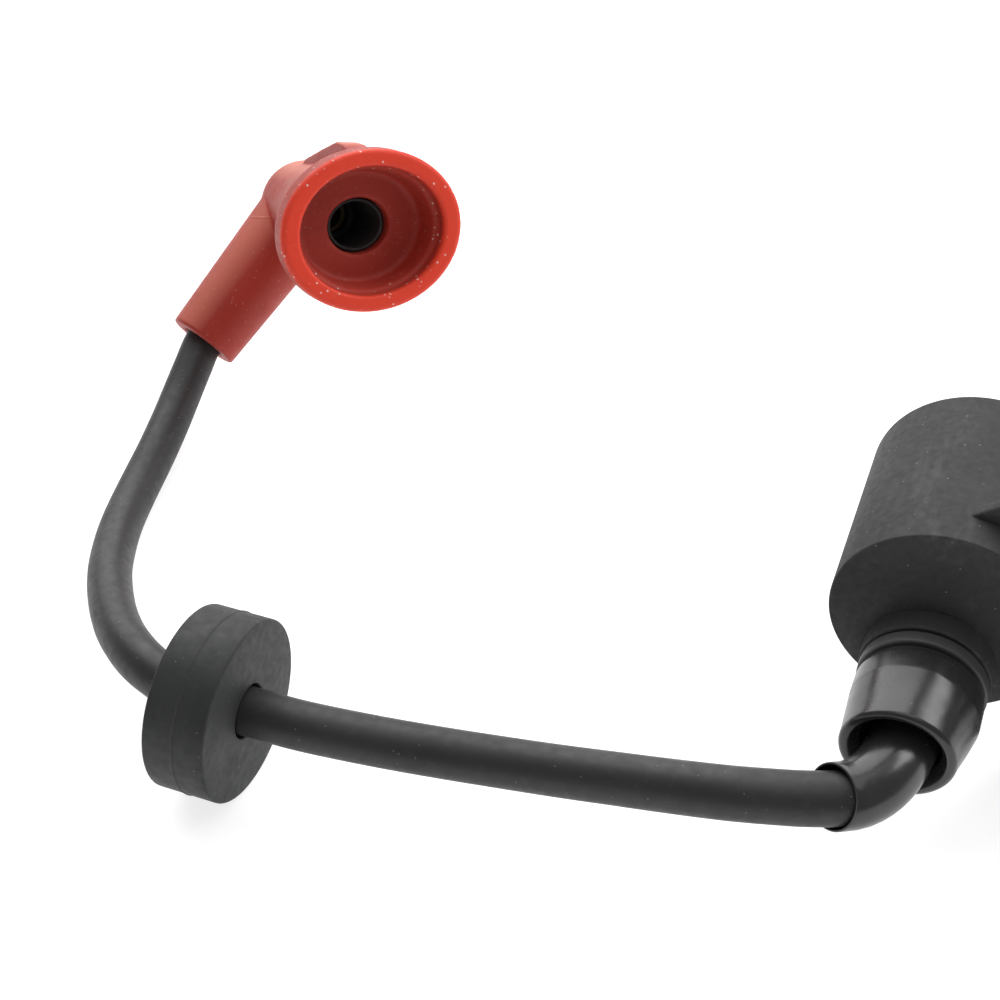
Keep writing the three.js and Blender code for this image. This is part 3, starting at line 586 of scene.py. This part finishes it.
def bobbin_plastic():
    f = Finish("bobbin_plastic")
    cloud = f.remap(f.noise(90, 4), 0.3, 0.7)
    base = f.mix(cloud, rgb(0.58, 0.50, 0.36), rgb(0.70, 0.62, 0.47))
    roughness = f.remap(f.noise(600, 3), 0.3, 0.7, 0.45, 0.6)
    f.set(Base_Color=base, Roughness=roughness, Normal=f.bump(f.noise(1800, 2), 0.02, 0.4))
    return f.material


# ---------- pieces ----------


def make_camera():
    data = bpy.data.cameras.new("camera")
    camera = bpy.data.objects.new("camera", data)
    bpy.context.scene.collection.objects.link(camera)
    data.lens = 54
    data.sensor_width = 36
    data.clip_start = 0.01
    camera.location = (-0.02655, -0.17288, 0.1725)
    camera.rotation_euler = [math.radians(a) for a in (49, 0, 22.9)]
    bpy.context.scene.camera = camera


def make_lead():
    curve = bpy.data.curves.new("lead", "CURVE")
    curve.dimensions = "3D"
    path = smooth_path(LEAD_ROUTE, 6)
    spline = curve.splines.new("POLY")
    spline.points.add(len(path) - 1)
    for point, place in zip(spline.points, path):
        point.co = (*place, 1)
    curve.bevel_depth = LEAD_DIAMETER / 2
    curve.bevel_resolution = 10
    curve.use_fill_caps = True
    obj = bpy.data.objects.new("lead", curve)
    bpy.context.scene.collection.objects.link(obj)
    return obj, sum((b - a).length for a, b in zip(path, path[1:]))


def make_housing():
    body = lathe(
        fillet(
            [
                (0, 0, 0),
                (COIL_R, 0, 0.3),
                (COIL_BACK_R, COIL_LENGTH, 0.8),
                (COIL_R - COIL_WALL, COIL_LENGTH, 0.4),
                (COIL_R - COIL_WALL, FRONT_WALL, 0),
                (0, FRONT_WALL, 0),
            ]
        ),
        160,
    )
    collar_r = SEAL_R + 0.25
    tower = lathe(
        fillet(
            [
                (collar_r, 1, 0),
                (collar_r, -COLLAR_LENGTH, 0.3),
                (TOWER_R, -COLLAR_LENGTH, 0.2),
                (TOWER_R, -TOWER_LENGTH, 0.5),
                (TOWER_BORE_R, -TOWER_LENGTH, 0),
                (TOWER_BORE_R, 1, 0),
                (collar_r, 1, 0),
            ]
        ),
        128,
    )
    right = HOUSING_HIGH.x - COIL_AXIS.x
    top = COIL_R + EAR_RISE
    outline = [(0, -COIL_R), (right, -COIL_R), (right, top), (EAR_SLOPE_END, top), (0, COIL_R)]
    upright = Matrix.Rotation(math.pi / 2, 4, "X")
    middle = Matrix.Translation((0, EAR_START + EAR_THICKNESS / 2, 0))
    ear = placed(plate(outline, EAR_THICKNESS, 0.35), middle @ upright)
    solids, cuts = [placed(body, about(COIL_AXIS)), placed(ear, about(COIL_AXIS))], []
    solids.append(placed(tower, about(TOWER_AXIS)))
    for drop in (-RIVET_DROP, RIVET_DROP):
        boss = lathe(fillet([(0, 2, 0), (BOSS_R, 2, 0.4), (BOSS_R, 6, 0), (0, 6, 0)]), 64)
        solids.append(placed(boss, about(rivet_axis(drop))))
        bore = lathe([(0, 0), (EAR_HOLE_R, 0), (EAR_HOLE_R, 9), (0, 9)], 64)
        cuts.append(placed(bore, about(rivet_axis(drop))))
    inner = COIL_R - COIL_WALL
    cup = lathe([(0, FRONT_WALL), (inner, FRONT_WALL), (inner, CUP_END), (0, CUP_END)], 160)
    cuts.append(placed(cup, about(COIL_AXIS)))
    return joined("housing", solids, cuts)


def make_potting():
    """Resin behind the windings, drawn up a little where it meets the wall."""
    outer = COIL_R - COIL_WALL - 0.05
    inner = outer - 0.8
    inside = POTTING_BACK - POTTING_DISC
    sunk = POTTING_BACK - 0.55
    skin = fillet(
        [
            (0, inside, 0),
            (inner, inside, 0),
            (inner, 4, 0),
            (outer, 4, 0),
            (outer, POTTING_BACK, 0.1),
            (outer - 1.6, sunk, 1.5),
            (0, sunk, 0),
        ]
    )
    return new_piece("potting", placed(lathe(skin, 96), about(COIL_AXIS)))


def make_seal_ring():
    start, end = SEAL_HIGH.y - TOWER_AXIS.y, SEAL_LOW.y - TOWER_AXIS.y
    ring = [
        (BOOT_SEAT_R, start, 0),
        (SEAL_R, start, 0.25),
        (SEAL_R, end, 0.35),
        (BOOT_SEAT_R, end, 0),
        (BOOT_SEAT_R, start, 0),
    ]
    return new_piece("seal_ring", placed(lathe(fillet(ring), 128), about(TOWER_AXIS)))


def make_tower_boot():
    """Soft boot that leans over past the tower's end and has a bowl-shaped lip."""
    profile = fillet(
        [
            (BOOT_SEAT_R, -6.1, 0),
            (8.15, -6.1, 0.4),
            (8.5, -7.2, 1.2),
            (8.5, -10.5, 5.0),
            (8.05, -14, 5.0),
            (7.65, -16.6, 3.0),
            (7.45, -18.6, 0.9),
            (6.4, -18.9, 0.9),
            (5.2, -16.9, 1.0),
            (5.0, -14.4, 0.6),
            (5.0, BOOT_BEND_Y, 0),
            (BOOT_SEAT_R, BOOT_BEND_Y, 0),
            (BOOT_SEAT_R, -6.1, 0),
        ],
        7,
    )
    bm = lathe(profile, 128)
    for v in bm.verts:
        past = min(0, v.co.y - BOOT_BEND_Y)
        v.co.x += BOOT_LEAN * past
        v.co.z -= BOOT_RISE * past
    return new_piece("tower_boot_skin", placed(bm, about(TOWER_AXIS)), 50)


def make_elbow():
    """Its mouth is cut at a slant and stands a little off the lead."""
    path = smooth_path(ELBOW_ROUTE, 16)
    length = sum((b - a).length for a, b in zip(path, path[1:]))
    profile = [(0, 0, 0), (ELBOW_START_R, 0, 0.6)]
    for k in range(1, 16):
        share = k / 16
        r = ELBOW_START_R + (ELBOW_END_R - ELBOW_START_R) * share
        profile.append((r, length * share, 0))
    profile += [
        (ELBOW_END_R, length, 0.3),
        (ELBOW_BORE_R + 0.08, length, 0.15),
        (ELBOW_BORE_R, length - ELBOW_BORE_DEPTH, 0),
        (0, length - ELBOW_BORE_DEPTH, 0),
    ]
    bm = bend_along(lathe(fillet(profile), 96), path)
    mouth = path[-1]
    out = (path[-1] - path[-2]).normalized()
    for v in bm.verts:
        ahead = (v.co - mouth).dot(out)
        if ahead > -SLANT_LENGTH:
            share = 1 + ahead / SLANT_LENGTH
            v.co -= out * MOUTH_SLANT * (v.co - mouth).dot(MOUTH_FACES) * share
    return new_piece("elbow", bm, 50)


def make_grommet():
    half, bore = GROMMET_HALF_LENGTH, GROMMET_BORE_R
    r = GROMMET_R - GROMMET_SEAM
    profile = fillet(
        [
            (bore, -half, 0.3),
            (r, -half, 0.35),
            (r, -0.4, 0),
            (r, -0.2, 0),
            (GROMMET_R, 0, 0),
            (r, 0.2, 0),
            (r, 0.4, 0),
            (r, half, 0.35),
            (bore, half, 0.3),
            (bore, 0, 0),
            (bore, -half, 0),
        ]
    )
    bm = lathe(profile, 160)
    return new_piece("grommet_skin", placed(bm, facing(GROMMET_AT, GROMMET_AXIS)), 40)


def boot_frame():
    """Origin in the middle of the boot's head, +Y out along the bell, +X along its wide axis."""
    y = BELL_AXIS
    x = (BELL_WIDE_AXIS - y * BELL_WIDE_AXIS.dot(y)).normalized()
    turn = Matrix((x, y, x.cross(y))).transposed().to_4x4()
    return Matrix.Translation(SLEEVE_MOUTH + SLEEVE_AXIS * SLEEVE_LENGTH) @ turn


BOOT = boot_frame()


def oval(bm):
    """Widens the bell along X, narrows it along Z and shifts it, each most at the rim."""
    for v in bm.verts:
        t = min(max((v.co.y - HEAD_R) / (BELL_LENGTH - HEAD_R), 0), 1)
        k = t * t * (3 - 2 * t)
        v.co.x *= 1 + BELL_OVAL * k
        v.co.z *= 1 - BELL_OVAL * k
        v.co += RIM_SHIFT * k
    return bm


def bell_outside():
    """Round head, flaring bell and thick rim."""
    profile = [(0, -HEAD_R, 0)]
    for i in range(1, 13):
        a = math.pi / 2 * i / 12
        profile.append((HEAD_R * math.sin(a), -HEAD_R * math.cos(a), 0))
    for i in range(13):
        t = i / 12
        r = HEAD_R * (1 - t) ** 2 + 2 * (HEAD_R + 0.6) * t * (1 - t) + (RIM_R - 1.4) * t * t
        y = 6 * (1 - t) ** 2 + 2 * 18 * t * (1 - t) + 28.5 * t * t
        profile.append((r, y, 0))
    rim = BELL_LENGTH
    profile += [(RIM_R - 0.4, 30, 0.5), (RIM_R, 31.2, 0.5), (RIM_R, rim, 0.8), (0, rim, 0)]
    return oval(lathe(fillet(profile), 160))


def bell_inside():
    """Bowl inside the rim with a ledge, and the hole for the spark plug."""
    rim = BELL_LENGTH
    mouth, floor = RIM_R - RIM_WALL, rim - BELL_DEPTH
    profile = [
        (0, rim - PLUG_HOLE_DEPTH, 0),
        (PLUG_HOLE_R, rim - PLUG_HOLE_DEPTH, 0),
        (PLUG_HOLE_R, floor, 0.5),
        (mouth - 1.5, floor, 1.2),
        (mouth - 0.9, rim - 3, 0.2),
        (mouth - 0.1, rim - 2.4, 0.5),
        (mouth, rim, 0.6),
        (mouth + 1.5, rim + 0.2, 0),
        (mouth + 1.5, rim + 2, 0),
        (0, rim + 2, 0),
    ]
    return oval(lathe(fillet(profile), 160))


def pull_tab():
    """Fin on the back of the bell, turned round it from the side away from the sleeve."""
    outline = [
        (6, 4),
        (9.1, 4),
        (11.7, 13.8),
        (13.5, 21.1),
        (13.4, 24.6),
        (12.6, 27.7),
        (6, 27.7),
    ]
    mouth = BOOT.inverted() @ SLEEVE_MOUTH
    away = -Vector((mouth.x, 0, mouth.z)).normalized()
    turn = Matrix.Rotation(TAB_TURN - math.atan2(away.z, away.x), 4, "Y")
    return placed(plate(outline, TAB_THICKNESS, 0.5), turn)


def make_plug_boot():
    along = BOOT.inverted() @ facing(SLEEVE_MOUTH, SLEEVE_AXIS)
    length = SLEEVE_LENGTH
    profile = [
        (0, 0, 0),
        (SLEEVE_MOUTH_R, 0, 0.35),
        (SLEEVE_HEAD_R, length, 0),
        (0, length, 0),
    ]
    sleeve = placed(lathe(fillet(profile), 96), along)
    bore = lathe([(0, -2), (SLEEVE_BORE_R, -2), (SLEEVE_BORE_R, length), (0, length)], 96)
    placed(bore, along)
    solids = [bell_outside(), sleeve, pull_tab()]
    cuts = [bell_inside(), bore]
    for bm in [*solids, *cuts]:
        placed(bm, BOOT)
    boot = joined("plug_boot_skin", solids, cuts)
    return softened(boot, 0.32, 3)


def make_insulator():
    """Lines the boot's hole, with a shoulder in front of the terminal."""
    back, front = 12, BELL_LENGTH - BELL_DEPTH - 1.6
    ring = [
        (3.3, back, 0),
        (4.85, back, 0),
        (4.85, front, 0.2),
        (4.3, front, 0.2),
        (4.3, back + 1.5, 0.3),
        (3.3, back + 1.5, 0.2),
        (3.3, back, 0),
    ]
    return new_piece("insulator", placed(oval(lathe(fillet(ring), 96)), BOOT))


def make_rivet(name, drop):
    head = 1.4
    front, back = 1.7, 9.6
    profile = fillet(
        [
            (0, front - head, 0),
            (2.6, front - head, 1.2),
            (4.2, front - 0.45, 0.4),
            (4.2, front, 0.1),
            (2.25, front, 0),
            (2.25, back, 0),
            (3.57, back, 0.1),
            (3.57, back + 0.5, 0.4),
            (2.2, back + head, 0.5),
            (1.2, back + head, 0.3),
            (1.0, back + 0.4, 0.2),
            (0, back + 0.3, 0),
        ]
    )
    return new_piece(name, placed(lathe(profile, 64), about(rivet_axis(drop))))


def make_ear_sleeve(name, drop):
    ring = [(2.6, 2, 0), (3.4, 2, 0.15), (3.4, 7, 0.15), (2.6, 7, 0.15), (2.6, 2, 0)]
    return new_piece(name, placed(lathe(fillet(ring), 64), about(rivet_axis(drop))))


# ---------- set ----------


def make_stage():
    bm = bmesh.new()
    side = 3.0
    corners = [(-side, -side, 0), (side, -side, 0), (side, side, 0), (-side, side, 0)]
    bm.faces.new([bm.verts.new(corner) for corner in corners])
    mesh = bpy.data.meshes.new("floor")
    bm.to_mesh(mesh)
    bm.free()
    floor = bpy.data.objects.new("floor", mesh)
    bpy.context.scene.collection.objects.link(floor)
    f = Finish("floor_paper")
    tone = f.remap(f.noise(3, 2), 0.3, 0.7)
    f.set(Base_Color=f.mix(tone, rgb(0.54, 0.54, 0.54), rgb(0.56, 0.56, 0.56)), Roughness=0.9)
    f.shader.inputs["Emission Color"].default_value = rgb(1, 1, 1)
    f.shader.inputs["Emission Strength"].default_value = 0.75
    mesh.materials.append(f.material)


def make_lights():
    world = bpy.data.worlds.new("studio")
    bpy.context.scene.world = world
    world.use_nodes = True
    background = world.node_tree.nodes["Background"]
    background.inputs["Color"].default_value = rgb(1, 1, 1)
    background.inputs["Strength"].default_value = 0.28
    aim = Vector((-0.09, -0.01, 0.02))
    for name, place, size, power in (
        ("key", (-0.50, 0.50, 0.55), 0.9, 8.0),
        ("back", (0.38, 0.45, 0.50), 0.45, 3.6),
        ("top", (-0.05, 0.0, 0.65), 0.5, 1.0),
    ):
        data = bpy.data.lights.new(name, "AREA")
        data.size = size
        data.energy = power
        light = bpy.data.objects.new(name, data)
        light.location = place
        light.rotation_euler = (aim - Vector(place)).to_track_quat("-Z", "Y").to_euler()
        bpy.context.scene.collection.objects.link(light)
    bpy.context.scene.view_settings.view_transform = "Standard"


def dress(obj, material):
    obj.data.materials.clear()
    obj.data.materials.append(material)


def finish_piece(obj, body, material, slot, *nodes):
    dress(obj, material)
    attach(obj, body)
    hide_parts(*nodes)


def main():
    make_camera()
    lead, lead_length = make_lead()
    plastic = moulded_plastic()
    black_gloss = glossy_rubber()
    lead_black = matte_rubber(
        "lead_rubber", (0.019, 0.019, 0.020), (0.026, 0.026, 0.027), 0.5, 0.01, 0.06
    )
    grommet_black = matte_rubber(
        "grommet_rubber", (0.017, 0.018, 0.018), (0.028, 0.029, 0.029), 0.62, 0.03, 0.10
    )
    seal_black = matte_rubber(
        "seal_rubber", (0.050, 0.050, 0.051), (0.066, 0.066, 0.067), 0.45, 0.02, 0.05
    )
    red = red_silicone(BOOT, BELL_LENGTH)
    zinc = metal("zinc_steel", (0.55, 0.56, 0.57), (0.68, 0.69, 0.70), 0.36, 900)
    brass = metal("terminal_brass", (0.66, 0.50, 0.22), (0.78, 0.62, 0.30), 0.3, 1400, (1, 0.1, 1))
    # brass painted dark for the plug terminal: painted shade deep inside the boot's hole
    shade_dark_brass = metal(
        "shade_dark_brass", (0.16, 0.12, 0.06), (0.24, 0.18, 0.09), 0.45, 1400, (1, 0.1, 1)
    )
    copper = metal("copper", (0.58, 0.25, 0.11), (0.72, 0.36, 0.17), 0.32, 2200, (1, 6, 1))
    core = metal("core_steel", (0.30, 0.31, 0.33), (0.40, 0.41, 0.43), 0.42, 2000, (1, 1, 8))

    finish_piece(lead, "coil", lead_black, "lead_rubber", "ht_lead")
    finish_piece(make_housing(), "coil", plastic, "coil_plastic", "coil_housing")
    finish_piece(make_potting(), "coil", poured_resin(), "potting_resin", "potting_compound")
    finish_piece(make_seal_ring(), "coil", seal_black, "seal_rubber", "tower_seal_ring")
    finish_piece(make_tower_boot(), "coil", black_gloss, "boot_black", "tower_boot")
    finish_piece(make_elbow(), "coil", black_gloss, "boot_black", "lead_elbow")
    grommet = make_grommet()
    finish_piece(grommet, "grommet", grommet_black, "grommet_rubber", "grommet")
    boot = make_plug_boot()
    finish_piece(boot, "plug_boot", red, "boot_red", "plug_boot")
    insulator = make_insulator()
    finish_piece(insulator, "plug_boot", plastic, "coil_plastic", "boot_insulator")
    for place, drop in (("upper", RIVET_DROP), ("lower", -RIVET_DROP)):
        rivet = make_rivet(f"rivet_{place}", drop)
        finish_piece(rivet, "coil", zinc, "zinc_steel", f"bracket_rivet_{place}")
        sleeve = make_ear_sleeve(f"compression_sleeve_{place}", drop)
        finish_piece(sleeve, "coil", zinc, "zinc_steel", f"ear_sleeve_{place}")
    bracket = rounded_copy("bracket", "mounting_bracket", 0.25)
    finish_piece(bracket, "coil", painted_steel(), "bracket_paint", "mounting_bracket")
    for name in ("primary", "ground"):
        blade = rounded_copy(f"{name}_blade", f"{name}_terminal", 0.12)
        finish_piece(blade, "coil", brass, "terminal_brass", f"{name}_terminal")

    carried = {
        "iron_core": core,
        "primary_bobbin": bobbin_plastic(),
        "primary_winding": copper,
        "secondary_winding": copper,
        "tower_terminal": brass,
        "elbow_contact": brass,
        "lead_conductor": copper,
        "plug_terminal": shade_dark_brass,
        "terminal_spring": zinc,
    }
    carried["secondary_bobbin"] = carried["primary_bobbin"]
    for node, material in carried.items():
        dress(frame["nodes"][node], material)

    make_stage()
    make_lights()


main()
